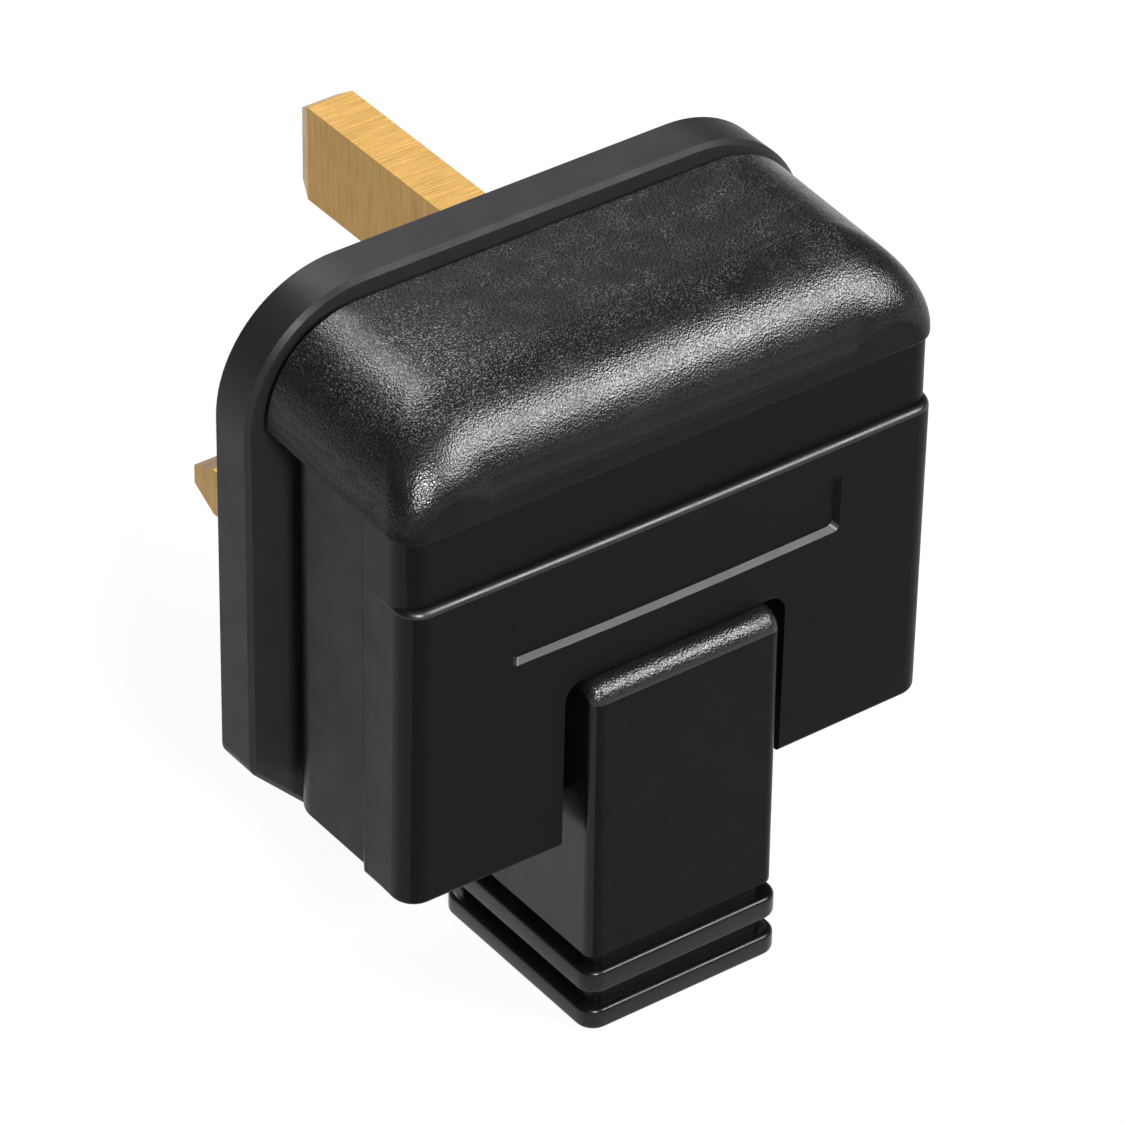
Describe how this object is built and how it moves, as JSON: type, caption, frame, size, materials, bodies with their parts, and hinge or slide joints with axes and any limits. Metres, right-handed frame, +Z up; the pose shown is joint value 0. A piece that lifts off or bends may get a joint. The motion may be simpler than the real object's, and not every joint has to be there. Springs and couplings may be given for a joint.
{
  "type": "fused mains plug",
  "caption": "Rewirable fused mains plug with flat blade pins, a flanged base, a hollow cover with a stepped back and finger grips, and a ribbed cord guard.",
  "frame": {"origin": "on the face that lies on the socket, in the middle of the pin pattern", "axes": "+Y the way the pins point, +Z up towards the earth pin, +X to the right as seen from behind the plug"},
  "size_m": [0.049, 0.0467, 0.0575],
  "materials": {
    "base_plastic": "matte moulded",
    "cover_plastic": "satin, spark grained",
    "guard_rubber": "satin",
    "pin_brass": "machined",
    "sleeve_plastic": "smooth",
    "screw_steel": "zinc plated",
    "clip_metal": "bare strip",
    "fuse_ceramic": "unglazed",
    "cap_metal": "nickel plated",
    "bar_plastic": "pressed fibre"
  },
  "bodies": {
    "root": {"base": "base_plastic", "rear_cover": "cover_plastic", "cord_guard": "guard_rubber", "earth_pin": "pin_brass", "neutral_pin": "pin_brass", "live_pin": "pin_brass", "neutral_pin_sleeve": "sleeve_plastic", "live_pin_sleeve": "sleeve_plastic", "earth_terminal_screw": "screw_steel", "neutral_terminal_screw": "screw_steel", "live_terminal_screw": "screw_steel", "live_terminal": "pin_brass", "lower_fuse_clip": "clip_metal", "upper_fuse_clip": "clip_metal", "fuse_body": "fuse_ceramic", "fuse_end_caps": "cap_metal", "cord_grip_bar": "bar_plastic", "cord_grip_screws": "screw_steel", "cover_screw": "screw_steel", "cover_screw_washer": "bar_plastic", "cover_insert": "pin_brass"}
  },
  "joints": []
}
